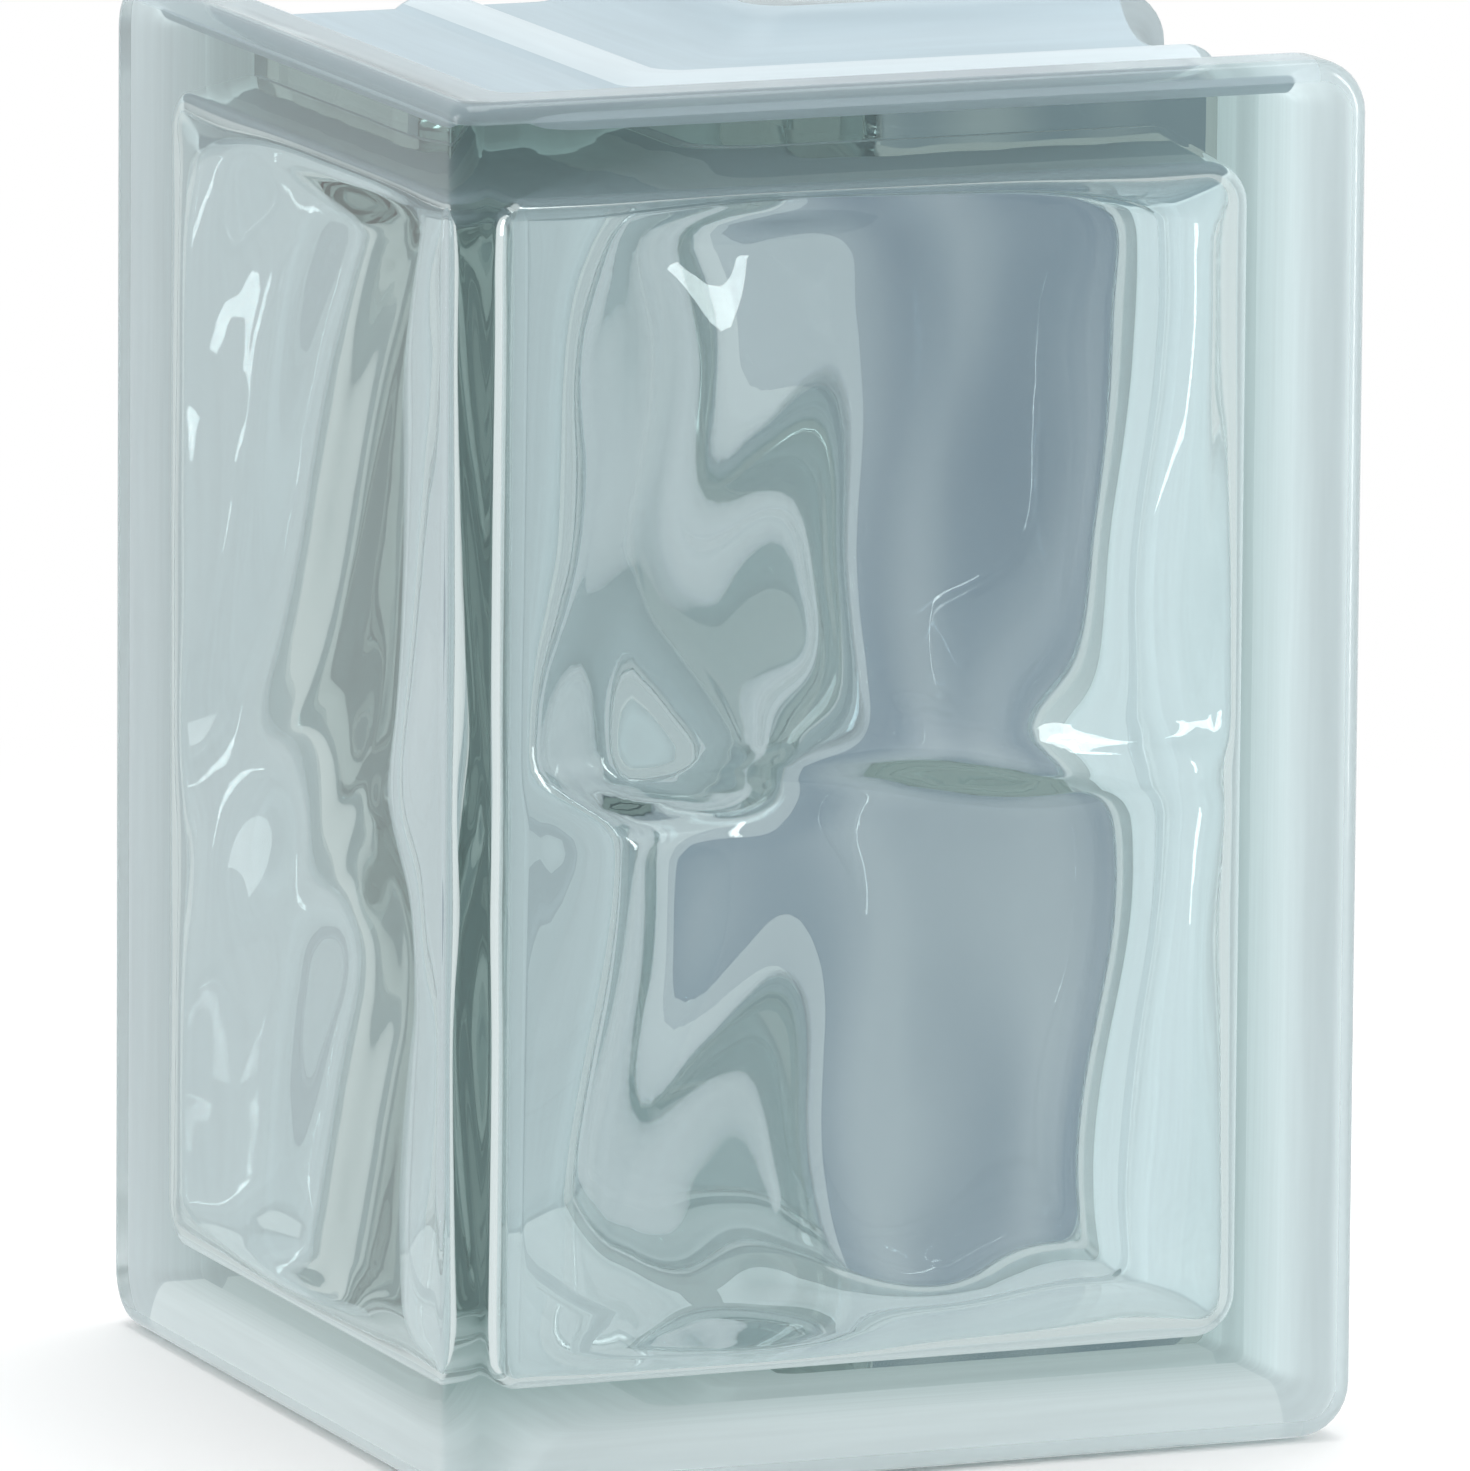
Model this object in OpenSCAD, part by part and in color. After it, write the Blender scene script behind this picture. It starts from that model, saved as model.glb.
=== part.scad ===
// Hollow corner glass block, L-shaped in plan, standing upright.
// Two pressed glass halves are fused along a raised seam that runs round the mortar channel.
// The outer faces are smooth, and the waves are pressed into the inside of the faces.
// The origin is under the middle of the block, and the outer faces look to -X and -Y.

/* [Block] */
// Length of each wing along its outer face
wing_len = 132; // [122:1:160]
// Height of the block
block_h = 190; // [150:1:240]
// Thickness of the wings, from outer face to inner face
block_t = 80; // [76:1:86]
// Distance of the fused seam from the outer face
seam_s = 45; // [38:1:47]

/* [Rim] */
// Depth of the mortar channel below the lips
channel_d = 6; // [4:0.5:6.5]
// Width of the flat lip beside each face
lip_w = 8.5; // [6:0.5:10]
// Rounding of the lip where it turns into the channel
nose_r = 3; // [2:0.5:4]
// Radius of the hollow that leads from the lip to the channel floor
cove_r = 11; // [8:0.5:12]
// Width of the fused seam bead
bead_w = 12; // [8:0.5:14]
// Height of the fused seam bead above the channel floor
bead_h = 2; // [1:0.1:3]
// Rounding of the edges between the faces and the lips
edge_r = 2.5; // [1:0.1:2.8]
// Rounding of the block's corners, seen on a face
corner_r = 7.5; // [7:0.5:10]
// Rounding of the upright edge where the outer faces meet
fold_r = 4; // [3:0.5:6]
// Rounding of the upright corner where the inner faces meet
inner_fold_r = 6; // [4:0.5:10]

/* [Cavity] */
// Mean thickness of the glass at a face
face_t = 8; // [6.5:0.5:10]
// Glass frame from the end of a wing to the cavity, at the face
end_frame = 15; // [13.5:0.5:18]
// Glass frame from the top or the bottom to the cavity, at the face
level_frame = 14; // [13.5:0.5:18]
// Widening of the cavity on each side, from the face to the seam
cavity_draft = 2; // [0.5:0.5:3]
// Rounding of the cavity's corners, seen on a face
cavity_corner_r = 6; // [4:0.5:8]
// Rounding between the cavity's walls and the inside of a face
cavity_fillet = 4; // [3:0.5:4]
// Rounding of the cavity behind the outer upright edge
cavity_fold_r = 4.5; // [4.5:0.5:8]

/* [Waves of the wing along X] */
// Height of the broad waves, either way from the mean inside of a face
broad_h = 3; // [1:0.1:3.2]
// Width of one broad wave along the face
broad_w = 110; // [90:1:130]
// Distance of a broad wave from the outer upright edge, at the foot of the block
broad_start = 102; // [80:1:110]
// Sideways run of the broad waves for their rise
broad_lean_share = 0.46; // [0:0.01:0.5]
// Sideways step back of the broad waves at middle height
broad_jog = 52; // [0:1:55]
// Sway of the broad waves to each side
broad_sway = 5; // [0:0.5:14]
// Level at which a sway of the broad waves starts
broad_sway_low = 88; // [70:1:100]
// Height of one sway of the broad waves
broad_sway_h = 132; // [110:1:160]
// Height of the narrow waves on the broad ones
narrow_h = 0.5; // [0.2:0.05:1]
// Width of one narrow wave along the face
narrow_w = 36; // [30:1:55]
// Distance of a narrow wave from the outer upright edge, at the foot of the block
narrow_start = 35; // [20:1:50]
// Sideways run of the narrow waves for their rise
narrow_lean_share = -0.2; // [-0.3:0.01:0.3]
// Sideways step back of the narrow waves at middle height
narrow_jog = 12; // [0:1:25]
// Sway of the narrow waves to each side
narrow_sway = 8; // [0:0.5:10]
// Level at which a sway of the narrow waves starts
narrow_sway_low = 60; // [40:1:75]
// Height of one sway of the narrow waves
narrow_sway_h = 80; // [70:1:110]
// Level at which the step back starts
jog_low = 88; // [70:1:95]
// Level at which the step back ends
jog_high = 100; // [100:1:125]

/* [Waves of the wing along Y] */
// Height of the waves, either way from the mean inside of a face
side_h = 2.8; // [0.5:0.1:3.2]
// Width of one wave along the face
side_w = 110; // [80:1:130]
// Distance of a wave from the outer upright edge, at the foot of the block
side_start = 37; // [20:1:60]
// Sideways run of the waves for their rise
side_lean_share = -0.4; // [-0.6:0.01:0]
// Sideways step of the waves at middle height
side_jog = 44; // [0:1:60]
// Level at which that step starts
side_jog_low = 60; // [40:1:80]
// Level at which that step ends
side_jog_high = 100; // [90:1:125]

/* [Fading of the waves] */
// Distance from the cavity's walls over which the waves come up to their height
wave_fade = 9; // [4:0.5:16]
// Distance from the upright edges over which the waves come up to their height
fold_fade = 18; // [8:0.5:30]

/* [Hidden] */
// Names of the pieces
// Piece to draw
// Overrun of the cuts
over = 1;
// Spacing of the wave grid
grid_step = 5;
// Number of steps round a rounding of the wave grid
round_steps = 4;
// Colour of the glass
glass_colour = [0.74, 0.82, 0.82, 0.6];
// Distance from the outer face to the end of the cove
cove_end = lip_w + sqrt(channel_d * (2 * (nose_r + cove_r) - channel_d));
// Radius of the seam bead's arc
bead_r = (bead_w * bead_w / 4 + bead_h * bead_h) / (2 * bead_h);
// Lowest and highest level of the cavity at a face
cavity_low = level_frame;
cavity_high = block_h - level_frame;
// End of the cavity along a wing, at a face
cavity_end = wing_len - end_frame;

$fn = 96;

// Point of the section on the other side of the block's mid thickness
function flip(p) = [block_t - p.x, p.y];

// Air in the channel above the block: x runs from the outer face, y is the height
module channel_air() {
    nose = [lip_w, block_h - nose_r];
    cove = [cove_end, block_h - channel_d + cove_r];
    meet = nose + (cove - nose) * nose_r / (nose_r + cove_r);
    side = [[lip_w, block_h + over], [lip_w, block_h], meet, [cove_end, block_h - channel_d]];
    difference() {
        union() {
            polygon(concat(side, [for (k = [len(side) - 1 : -1 : 0]) flip(side[k])]));
            for (c = [cove, flip(cove)])
                translate(c) circle(r = cove_r);
        }
        for (c = [nose, flip(nose)])
            translate(c) circle(r = nose_r);
        translate([seam_s, block_h - channel_d + bead_h - bead_r]) circle(r = bead_r);
    }
}

// Upright section across a wing, without its cavity
module section() {
    difference() {
        union() {
            translate([edge_r, 0]) square([block_t - 2 * edge_r, block_h]);
            translate([0, edge_r]) square([block_t, block_h - 2 * edge_r]);
            for (x = [edge_r, block_t - edge_r])
                for (y = [edge_r, block_h - edge_r])
                    translate([x, y]) circle(r = edge_r);
        }
        channel_air();
        translate([0, block_h]) mirror([0, 1, 0]) channel_air();
    }
}

// Rim of the section: x runs outwards from the centre of the corner rounding, y from the outer face
module rim() {
    intersection() {
        square([corner_r, block_t]);
        mirror([1, -1, 0]) translate([0, corner_r - block_h]) section();
    }
}

// One wing along X, mitred at the fold and rounded at its end
module wing() {
    run = wing_len - corner_r;
    intersection() {
        rotate([90, 0, 90]) linear_extrude(run) section();
        linear_extrude(block_h)
            polygon([[0, 0], [run, 0], [run, block_t], [block_t, block_t]]);
    }
    translate([run, 0, corner_r]) linear_extrude(block_h - 2 * corner_r) rim();
    translate([run, 0, corner_r]) rotate([-90, 0, 0]) rotate_extrude(angle = 90) rim();
    translate([run, 0, block_h - corner_r]) rotate([-90, 0, 0])
        rotate(-90) rotate_extrude(angle = 90) rim();
}

// Rounded upright edge where the outer faces meet
module outer_fold() {
    translate([fold_r, fold_r, 0]) rotate(180) rotate_extrude(angle = 90)
        intersection() {
            square([fold_r, block_h]);
            translate([fold_r, 0]) mirror([1, 0, 0]) section();
        }
}

// Rounded upright corner where the inner faces meet
module inner_fold() {
    side = inner_fold_r + edge_r;
    intersection() {
        translate([block_t - edge_r, block_t - edge_r, 0]) cube([side, side, block_h]);
        translate([block_t + inner_fold_r, block_t + inner_fold_r, 0])
            rotate(180) rotate_extrude(angle = 90) {
                intersection() {
                    translate([inner_fold_r, 0]) square([edge_r, block_h]);
                    translate([inner_fold_r + block_t, 0]) mirror([1, 0, 0]) section();
                }
                translate([side, 0]) square([side, block_h]);
            }
    }
}

// Whole block without its cavity, with the outer upright edge on the Z axis
module block() {
    difference() {
        union() {
            wing();
            mirror([1, -1, 0]) wing();
        }
        translate([-over, -over, -over]) cube([fold_r + over, fold_r + over, block_h + 2 * over]);
    }
    outer_fold();
    inner_fold();
}

// Room behind the seam, on the side of the inner faces
module behind_seam() {
    translate([seam_s, seam_s, -over]) cube([wing_len, wing_len, block_h + 2 * over]);
}

// Smooth rise from 0 to 1
function rise(t) = let (c = min(1, max(0, t))) c * c * (3 - 2 * c);

// Height of one run of waves of height h and width w, where x is the distance from a wave's line
function swell(h, w, x) = h * sin(360 * x / w);

// Place of the sway of a run of waves at a level, as a distance to the side
function swayed(sway, z, low, h) = sway * sin(360 * (z - low) / h);

// Height of the waves on the wing along X, at a distance from the outer upright edge and a level
function front_wave(u, z) =
    let (step = rise((z - jog_low) / (jog_high - jog_low)))
    let (broad = broad_start + broad_lean_share * z - broad_jog * step)
    let (narrow = narrow_start + narrow_lean_share * z - narrow_jog * step)
    swell(broad_h, broad_w, u - broad - swayed(broad_sway, z, broad_sway_low, broad_sway_h))
        + swell(narrow_h, narrow_w, u - narrow - swayed(narrow_sway, z, narrow_sway_low, narrow_sway_h));

// Height of the waves on the wing along Y, at a distance from the outer upright edge and a level
function side_wave(u, z) =
    let (step = rise((z - side_jog_low) / (side_jog_high - side_jog_low)))
    swell(side_h, side_w, u - side_start - side_lean_share * z - side_jog * step);

// Height of the waves along the unfolded block, u being negative on the wing along Y
function wave(u, z) = rise(abs(u) / fold_fade) * (u < 0 ? side_wave(-u, z) : front_wave(u, z));

// Height of a hollow rounding of radius r, at a distance d from its wall
function hollow(d, r) = let (c = r - min(r, max(0, d))) r - sqrt(r * r - c * c);

// Values from a to b in about equal steps, without the last
function steps(a, b) =
    let (n = max(1, ceil((b - a) / grid_step)))
    [for (k = [0 : n - 1]) a + (b - a) * k / n];

// Distances from a wall to the end of its rounding, packed towards the wall
function packed(r) = [for (k = [0 : round_steps]) r * (1 - cos(90 * k / round_steps))];

// Cavity of one half, running past the seam: its fold is an arc of radius arc_r about arc_c,
// and dir leads from the faces to the seam
module cavity(arc_c, arc_r, dir) {
    wall_r = max(cavity_corner_r, cavity_fillet);
    past = seam_s + dir * over;
    fold = arc_r * PI / 4;
    turns = [for (k = [0 : round_steps - 1]) 45 * (1 - k / round_steps)];
    runs = concat(
        steps(arc_c, cavity_end - wall_r),
        [for (k = [round_steps : -1 : 0]) cavity_end - packed(wall_r)[k]]
    );
    levels = concat(
        [for (k = [0 : round_steps - 1]) cavity_low + packed(wall_r)[k]],
        steps(cavity_low + wall_r, cavity_high - wall_r),
        [for (k = [round_steps : -1 : 0]) cavity_high - packed(wall_r)[k]]
    );
    last = len(turns) + len(runs) - 1;
    top = len(levels) - 1;

    // Distance of a level from the nearer of floor and ceiling
    function gap(z) = min(z - cavity_low, cavity_high - z);
    // End of the cavity at a level, drawn in by the rounded corners
    function reach(z) = cavity_end - hollow(gap(z), cavity_corner_r);
    // Distance of a place on the face from the cavity's rounded outline
    function inset(x, z) =
        let (ex = cavity_corner_r - cavity_end + x, ez = cavity_corner_r - gap(z))
        ex > 0 && ez > 0 ? cavity_corner_r - norm([ex, ez]) : min(cavity_end - x, gap(z));
    // Distance of the cavity's surface from the mean inside of the face
    function lift(u, z, q) = hollow(q, cavity_fillet) + wave(u, z) * rise(q / wave_fade);
    // Place of a station on the straight of a wing, at a level
    function along(i, z) =
        arc_c + (runs[i - len(turns)] - arc_c) * (reach(z) - arc_c) / (cavity_end - arc_c);
    // Distance of a station from the mitre, along the unfolded face
    function unfolded(i, z) =
        i < len(turns) ? arc_r * (45 - turns[i]) * PI / 180 : fold + along(i, z) - arc_c;
    // Point of the wing along X on the inside of its face, s being 1, or -1 for the other wing's waves
    function face_point(i, z, s) =
        i < len(turns)
        ? let (r = arc_r - dir * lift(s * unfolded(i, z), z, gap(z)))
          [arc_c - r * sin(turns[i]), arc_c - r * cos(turns[i]), z]
        : let (x = along(i, z))
          [x, arc_c - arc_r + dir * lift(s * unfolded(i, z), z, inset(x, z)), z];
    // Point of the wing along X past the seam, on the outline widened by the draft
    function past_point(i, z) =
        let (lean = max(0, 1 - gap(z) / cavity_corner_r))
        let (end = reach(z) + cavity_draft * sqrt(1 - lean * lean))
        let (side = z < block_h / 2 ? -1 : 1)
        [past + (end - past) * unfolded(i, z) / unfolded(last, z), past, z + side * lean * cavity_draft];
    // Point with X and Y exchanged, on the other wing
    function swap(p) = [p.y, p.x, p.z];
    // Numbers of the points on the face and past the seam, i running from -last to last
    function f(i, j) = (i + last) * (top + 1) + j;
    function g(i, j) = f(i, j) + (2 * last + 1) * (top + 1);
    // Two triangles of a quadrilateral
    function pair(a, b, c, d) = [[a, b, c], [a, c, d]];

    face = [for (i = [-last : last]) for (z = levels)
        i < 0 ? swap(face_point(-i, z, -1)) : face_point(i, z, 1)];
    back = [for (i = [-last : last]) for (z = levels)
        i < 0 ? swap(past_point(-i, z)) : past_point(i, z)];
    quads = concat(
        [for (i = [-last : last - 1]) for (j = [0 : top - 1])
            pair(f(i, j), f(i, j + 1), f(i + 1, j + 1), f(i + 1, j))],
        [for (i = [-last : last - 1])
            pair(g(i, 0), f(i, 0), f(i + 1, 0), g(i + 1, 0))],
        [for (i = [-last : last - 1])
            pair(f(i, top), g(i, top), g(i + 1, top), f(i + 1, top))],
        [for (j = [0 : top - 1])
            pair(g(-last, j), g(-last, j + 1), f(-last, j + 1), f(-last, j))],
        [for (j = [0 : top - 1])
            pair(f(last, j), f(last, j + 1), g(last, j + 1), g(last, j))],
        [for (i = [1 - last : last - 2])
            pair(g(i + 1, 0), g(i + 1, top), g(i, top), g(i, 0))],
        [for (j = [0 : top - 1])
            [[g(1 - last, 0), g(-last, j + 1), g(-last, j)]]],
        [for (j = [0 : top - 1])
            [[g(last - 1, 0), g(last, j), g(last, j + 1)]]],
        [[[g(1 - last, 0), g(1 - last, top), g(-last, top)]]],
        [[[g(last - 1, 0), g(last, top), g(last - 1, top)]]]
    );
    triangles = [for (q = quads) for (t = q) dir > 0 ? t : [t[2], t[1], t[0]]];
    polyhedron(concat(face, back), triangles);
}

module outer_half() {
    color(glass_colour)
    translate([-wing_len / 2, -wing_len / 2, 0])
    difference() {
        block();
        behind_seam();
        cavity(face_t + cavity_fold_r, cavity_fold_r, 1);
    }
}

module inner_half() {
    color(glass_colour)
    translate([-wing_len / 2, -wing_len / 2, 0])
    difference() {
        intersection() {
            block();
            behind_seam();
        }
        cavity(block_t + inner_fold_r, inner_fold_r + face_t, -1);
    }
}

outer_half();
inner_half();
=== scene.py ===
import math

import bpy
import numpy as np
from bpy.props import FloatProperty, FloatVectorProperty, PointerProperty
from mathutils import Matrix, Vector


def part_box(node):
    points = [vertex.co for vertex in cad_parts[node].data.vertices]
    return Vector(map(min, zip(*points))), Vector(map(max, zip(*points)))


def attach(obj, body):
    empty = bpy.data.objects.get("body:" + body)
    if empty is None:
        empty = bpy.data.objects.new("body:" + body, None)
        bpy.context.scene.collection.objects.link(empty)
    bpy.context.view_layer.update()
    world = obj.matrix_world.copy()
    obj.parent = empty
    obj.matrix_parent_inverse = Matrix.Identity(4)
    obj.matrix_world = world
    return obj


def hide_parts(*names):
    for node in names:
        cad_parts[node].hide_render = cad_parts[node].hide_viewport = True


bl_info = {
    "name": "Corner glass block",
    "version": (1, 0, 0),
    "blender": (4, 5, 0),
    "location": "3D View > Sidebar > Glass Block",
    "description": "Makes a hollow corner glass block with waves inside its faces, and a studio for it",
    "category": "Add Mesh",
}

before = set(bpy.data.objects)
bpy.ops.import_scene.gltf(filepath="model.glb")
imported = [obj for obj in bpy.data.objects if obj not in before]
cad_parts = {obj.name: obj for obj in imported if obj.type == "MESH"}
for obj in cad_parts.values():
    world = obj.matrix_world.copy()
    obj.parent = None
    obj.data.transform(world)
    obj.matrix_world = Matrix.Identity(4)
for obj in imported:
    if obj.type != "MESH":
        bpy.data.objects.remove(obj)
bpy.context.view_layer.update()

MM = 0.001
OUTER_LOW, OUTER_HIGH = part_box("outer_half")
INNER_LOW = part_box("inner_half")[0]

# Shares of painted shade in the inner faces' grey-blue tint: on the side wing, at the foot of the block,
# where it grows lighter downwards, and on the seam's ridge, where it paints a dark line
SIDE_PAINTED_SHADE = 0.45
FOOT_PAINTED_SHADE = 0.6
RIDGE_PAINTED_SHADE = 0.4

# How thick the coat is at the ends of the side wing and of the front wing, where it is 1 along the top: the
# thick coat is drawn greyer and lets less light through, painted shade, more on the side wing's end than the
# front wing's
SIDE_END_PAINTED_SHADE = 0.35
FRONT_END_PAINTED_SHADE = 0.17

# Share of coat that the brush leaves on the lips and on the edges beside them
LIP_COAT = 0.4
EDGE_COAT = 0.3

# How much whiter the coat is drawn on the bead along the top: a painted highlight
BEAD_PAINTED_HIGHLIGHT = 0.4

# Bounces of light, many because it runs far inside the glass walls
BOUNCES = {"max_bounces": 20, "transmission_bounces": 20, "glossy_bounces": 16}

# Marks of the coat's brush along and across the channel, drawn coarser than real so that they show,
# and the unevenness of the pressed glass
BRUSH_RUN = 30 * MM
BRUSH_WIDTH = 1.5 * MM
BRUSH_HEIGHT = 0.1 * MM
SKIN_WIDTH = 8 * MM
SKIN_HEIGHT = 0.04 * MM

# Soft upright streaks of painted shade in the tint of the inner faces
SHADE_STREAK_WIDTH = 14 * MM
SHADE_STREAK_SHAPE = (1.0, 1.0, 0.22)
SHADE_STREAK_LEAN = math.radians(-14)

# The photograph's frame in pixels, the camera's sensor height in mm, and how far it sees in metres
PHOTO_W = 1470
PHOTO_H = 1471
SENSOR = 36.0
CAMERA_REACH = 50.0


def length(name, default, description):
    """A size in metres that a user may change."""
    return FloatProperty(name=name, default=default, description=description, unit="LENGTH", precision=5)


def share(name, default, description):
    """A share from 0 to 1 that a user may change."""
    return FloatProperty(name=name, default=default, description=description, min=0.0, max=1.0)


def angle(name, degrees, description):
    """An angle that is written in degrees."""
    return FloatProperty(name=name, default=math.radians(degrees), description=description, subtype="ANGLE")


def colour(name, hex_value, description):
    """A colour that is written as sRGB hex."""
    return FloatVectorProperty(
        name=name, default=linear(hex_value), description=description, subtype="COLOR", size=3,
        min=0.0, max=1.0,
    )


def linear(hex_value):
    """Linear colour of an sRGB hex value."""
    channels = [int(hex_value[k:k + 2], 16) / 255 for k in (1, 3, 5)]
    return tuple(c / 12.92 if c <= 0.04045 else ((c + 0.055) / 1.055) ** 2.4 for c in channels)


# The runs of waves: two on the wing along X, then two on the wing along Y
RUNS = ("broad", "narrow", "side", "ripple")

# The waves other than the broad ones, where they differ from them
OTHER_WAVES = {
    "narrow": {
        "height": 0.5 * MM, "pitch": 36 * MM, "start": 35 * MM, "lean": -0.2, "jog": -12 * MM,
        "sway": 8 * MM, "sway_start": 60 * MM, "sway_pitch": 80 * MM,
    },
    "side": {
        "height": 2.8 * MM, "pitch": 110 * MM, "start": 37 * MM, "lean": -0.4, "jog": 44 * MM,
        "jog_low": 60 * MM, "sway": 0.0,
    },
    "ripple": {
        "height": 0.5 * MM, "pitch": 40 * MM, "start": 30 * MM, "lean": -0.8, "jog": 0.0,
        "sway": 6 * MM, "sway_start": 40 * MM, "sway_pitch": 90 * MM,
    },
}

# Strip lamps and a softbox: name, place, width and height in metres, power in watts
LAMPS = (
    ("strip right", (1.1, -0.9, 0.52), (0.16, 1.0), 6.0),
    ("strip near", (0.36, -0.36, 0.2), (0.04, 0.38), 0.6),
    ("strip left", (-1.2, 0.3, 0.52), (0.45, 1.0), 6.0),
    ("softbox above", (0.1, 0.2, 1.5), (1.0, 1.0), 9.0),
)
LAMP_AIM = Vector((0, 0, 0.2))
WORLD_FILL = 0.85
WHITE = (1.0, 1.0, 1.0, 1.0)

# The floor's half width, and how far it lies below the block
FLOOR_HALF = 6.0
FLOOR_DROP = 0.5 * MM


class BLOCK_PG_rim(bpy.types.PropertyGroup):
    """Sizes of the block's outside."""

    wing: length("Wing", OUTER_HIGH.x - OUTER_LOW.x, "Length of each wing along its outer face")
    height: length("Height", OUTER_HIGH.z - OUTER_LOW.z, "Height of the block")
    thick: length("Thickness", 80 * MM, "Thickness of the wings, from outer face to inner face")
    seam: length("Seam", INNER_LOW.x - OUTER_LOW.x, "Distance of the fused seam from the outer face")
    channel: length("Channel", 6 * MM, "Depth of the mortar channel below the lips")
    lip: length("Lip", 8.5 * MM, "Width of the flat lip beside each face")
    nose: length("Lip rounding", 3 * MM, "Rounding of the lip where it turns into the channel")
    cove: length("Cove", 11 * MM, "Radius of the hollow that leads to the channel floor")
    bead_w: length("Bead width", 12 * MM, "Width of the fused seam bead")
    bead_h: length("Bead height", 2 * MM, "Height of the seam bead above the channel floor")
    edge: length("Edge rounding", 2.5 * MM, "Rounding of the edges between faces and lips")
    corner: length("Corner rounding", 7.5 * MM, "Rounding of the block's corners, seen on a face")
    fold: length("Outer fold", 4 * MM, "Rounding of the upright edge where the outer faces meet")
    inner_fold: length("Inner fold", 6 * MM, "Rounding of the upright corner where the inner faces meet")


class BLOCK_PG_cavity(bpy.types.PropertyGroup):
    """Sizes of the block's inside."""

    face: length("Face glass", 8 * MM, "Mean thickness of the glass at a face")
    end_frame: length("End frame", 15 * MM, "Glass from the end of a wing to the cavity, at the face")
    level_frame: length("Level frame", 14 * MM, "Glass from top or bottom to the cavity, at the face")
    draft: length("Draft", 2 * MM, "Widening of the cavity on each side, from face to seam")
    corner: length("Cavity corner", 6 * MM, "Rounding of the cavity's corners, seen on a face")
    fillet: length("Fillet", 4 * MM, "Rounding between the cavity's walls and a face")
    fold: length("Cavity fold", 4.5 * MM, "Rounding of the cavity behind the outer upright edge")
    ridge_w: length("Ridge width", 3.0 * MM, "Width of the seam ridge inside the cavity")
    ridge_h: length("Ridge height", 1.4 * MM, "Height of the seam ridge inside the cavity")


class BLOCK_PG_waves(bpy.types.PropertyGroup):
    """One run of waves: its lines climb the face with a lean, a jog at middle height and a sway."""

    height: length("Height", 3.0 * MM, "Height of the waves, either way from the mean surface")
    pitch: length("Pitch", 110 * MM, "Width of one wave along the face")
    start: length("Start", -8 * MM, "Distance of a wave from the outer upright edge, at the block's foot")
    lean: FloatProperty(name="Lean", default=0.46, description="Sideways run of the waves for their rise")
    jog: length("Jog", -52 * MM, "Sideways jump of the waves at middle height")
    jog_low: length("Jog low", 88 * MM, "Height above the foot of the block at which the jog starts")
    jog_high: length("Jog high", 100 * MM, "Height above the foot of the block at which the jog ends")
    sway: length("Sway", 5 * MM, "Sideways sway of the waves as they rise")
    sway_start: length("Sway start", 88 * MM, "Height above the foot of the block at which a sway starts")
    sway_pitch: length("Sway pitch", 132 * MM, "Height of one sway")


class BLOCK_PG_relief(bpy.types.PropertyGroup):
    """The relief inside the faces: broad waves with narrow ones, and side waves with a ripple on them."""

    broad: PointerProperty(type=BLOCK_PG_waves)
    narrow: PointerProperty(type=BLOCK_PG_waves)
    side: PointerProperty(type=BLOCK_PG_waves)
    ripple: PointerProperty(type=BLOCK_PG_waves)
    fade: length("Fade", 9 * MM, "Distance from the walls over which the waves come up")
    fold_fade: length("Fold fade", 18 * MM, "Distance from the upright edges over which the waves come up")


class BLOCK_PG_looks(bpy.types.PropertyGroup):
    """Colours and finish of the block."""

    glass: colour("Glass", "#F1F8F9", "Tint of the glass where light crosses its surface")
    # Painted shade: this grey-blue on the inner faces stands for darker surroundings seen through them, not
    # for the glass's own colour
    smoke: colour("Inner glass", "#6D8394", "Tint of the inner faces where light crosses their surface")
    depth: colour("Glass in depth", "#9AB7B3", "Tint of light that runs far through the glass")
    density: FloatProperty(
        name="Depth tint", default=19.0, min=0.0, description="Strength of the depth tint, per metre"
    )
    satin: share("Satin", 0.15, "Roughness of the glass on the rim")
    coat: colour("Edge coat", "#F2FAFC", "Milky edge coat in the mortar channel")
    # Painted shade: this greyer coat darkens the top and the ends; it is not a coat brushed on thicker
    thick_coat: colour("Thick edge coat", "#B9CAD2", "Edge coat where it is brushed on thicker")
    thin: share("Thin coat", 0.9, "Share of light through a thin coat")
    thick: share("Thick coat", 0.2, "Share of light through a thick coat")


class BLOCK_PG_stage(bpy.types.PropertyGroup):
    """Camera and light."""

    azimuth: angle("Azimuth", -22.05, "Camera turn about Z")
    elevation: angle("Elevation", 10.245, "Camera height angle")
    roll: angle("Roll", 0.44, "Camera roll")
    distance: length("Distance", 2.788, "Distance of the camera from the middle of the block")
    focal_px: FloatProperty(
        name="Focal length", default=20290.0, description="Focal length in pixels of the photograph"
    )
    centre_x: FloatProperty(
        name="Centre X", default=729.35, description="Image column of the middle of the block"
    )
    centre_y: FloatProperty(
        name="Centre Y", default=699.26, description="Image row of the middle of the block"
    )
    floor: colour("Floor", "#FAFAFA", "Plain pale floor")
    shadow_near: length("Shadow near", 0.13, "Distance from the middle up to which the floor shows a shadow")
    shadow_far: length("Shadow far", 0.5, "Distance at which the floor has run out into plain white")


class BLOCK_PG_settings(bpy.types.PropertyGroup):
    """All settings of the block."""

    rim: PointerProperty(type=BLOCK_PG_rim)
    cavity: PointerProperty(type=BLOCK_PG_cavity)
    relief: PointerProperty(type=BLOCK_PG_relief)
    looks: PointerProperty(type=BLOCK_PG_looks)
    stage: PointerProperty(type=BLOCK_PG_stage)


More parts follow.
